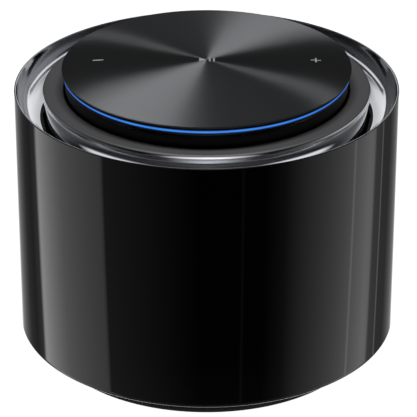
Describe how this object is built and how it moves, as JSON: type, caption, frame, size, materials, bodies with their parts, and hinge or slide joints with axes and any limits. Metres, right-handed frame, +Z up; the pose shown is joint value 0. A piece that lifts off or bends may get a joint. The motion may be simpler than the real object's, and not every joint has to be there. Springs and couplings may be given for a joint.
{
  "type": "portable wireless speaker",
  "caption": "Round tabletop wireless speaker: gloss black sleeve, floating spun-metal touch disc with a blue light ring, annular sound gap, bass radiator firing down.",
  "frame": {"origin": "centre of the face that the speaker stands on", "axes": "+Z up along the speaker's axis, -Y towards the user with the minus key on the left (-X), +Y to the rear sockets"},
  "size_m": [0.116, 0.116, 0.0936],
  "materials": {
    "gloss_black": "polished black acrylic, mirror gloss",
    "satin_black": "fine satin moulding",
    "spun_metal": "dark anodised, spun with fine concentric turning marks",
    "bright_metal": "dark polished chrome",
    "blue_light": "frosted light guide lit blue",
    "moulded_black": "plain matt moulding",
    "rubber": "matt non-slip",
    "steel": "zinc plated",
    "ferrite": "ground ferrite",
    "paper": "pulp fibre, matt",
    "circuit_board": "green solder mask",
    "copper": "enamelled copper winding",
    "cell_wrap": "shrink-wrapped pouch"
  },
  "bodies": {
    "housing": {"outer_sleeve": "gloss_black", "base_plate": "satin_black", "acoustic_lens": "satin_black", "top_ring": "satin_black", "disc_carrier": "satin_black", "rear_panel": "satin_black", "touch_disc": "spun_metal", "sound_funnel": "bright_metal", "ring_band": "bright_metal", "light_guide": "blue_light", "bass_grille": "moulded_black", "enclosure_can": "moulded_black", "baffle_plate": "moulded_black", "radiator_frame": "moulded_black", "battery_tray": "moulded_black", "power_switch": "moulded_black", "pairing_switch": "moulded_black", "lens_post_1": "moulded_black", "lens_post_2": "moulded_black", "lens_post_3": "moulded_black", "lens_post_4": "moulded_black", "rubber_foot": "rubber", "driver_gasket": "rubber", "driver_basket": "steel", "front_plate": "steel", "pole_yoke": "steel", "amp_heatsink": "steel", "usb_c_port": "steel", "base_screw_1": "steel", "base_screw_2": "steel", "base_screw_3": "steel", "base_screw_4": "steel", "driver_screw_1": "steel", "driver_screw_2": "steel", "driver_screw_3": "steel", "driver_screw_4": "steel", "lens_screw_1": "steel", "lens_screw_2": "steel", "lens_screw_3": "steel", "lens_screw_4": "steel", "magnet": "ferrite", "led_board": "circuit_board", "touch_board": "circuit_board", "main_board": "circuit_board", "io_board": "circuit_board", "battery_pack": "cell_wrap"},
    "driver_cone": {"cone": "paper", "dust_cap": "paper", "voice_coil": "copper", "cone_surround": "rubber", "spider": "paper"},
    "bass_radiator": {"bass_diaphragm": "moulded_black", "bass_weight": "steel", "bass_surround": "rubber"},
    "power_key": {"power_button": "satin_black"},
    "pairing_key": {"pairing_button": "satin_black"}
  },
  "joints": [
    {"name": "driver_cone_travel", "type": "slide", "parent": "housing", "child": "driver_cone", "axis": [0, 0, 1], "range_m": [-0.002, 0.002], "stiffness_N_per_m": 1500, "deforming": ["cone_surround", "spider"]},
    {"name": "bass_radiator_travel", "type": "slide", "parent": "housing", "child": "bass_radiator", "axis": [0, 0, 1], "range_m": [-0.0025, 0.0025], "stiffness_N_per_m": 2000, "deforming": ["bass_surround"]},
    {"name": "power_press", "type": "slide", "parent": "housing", "child": "power_key", "axis": [0, -1, 0], "range_m": [0, 0.0006], "stiffness_N_per_m": 1500},
    {"name": "pairing_press", "type": "slide", "parent": "housing", "child": "pairing_key", "axis": [0, -1, 0], "range_m": [0, 0.0006], "stiffness_N_per_m": 1500}
  ]
}
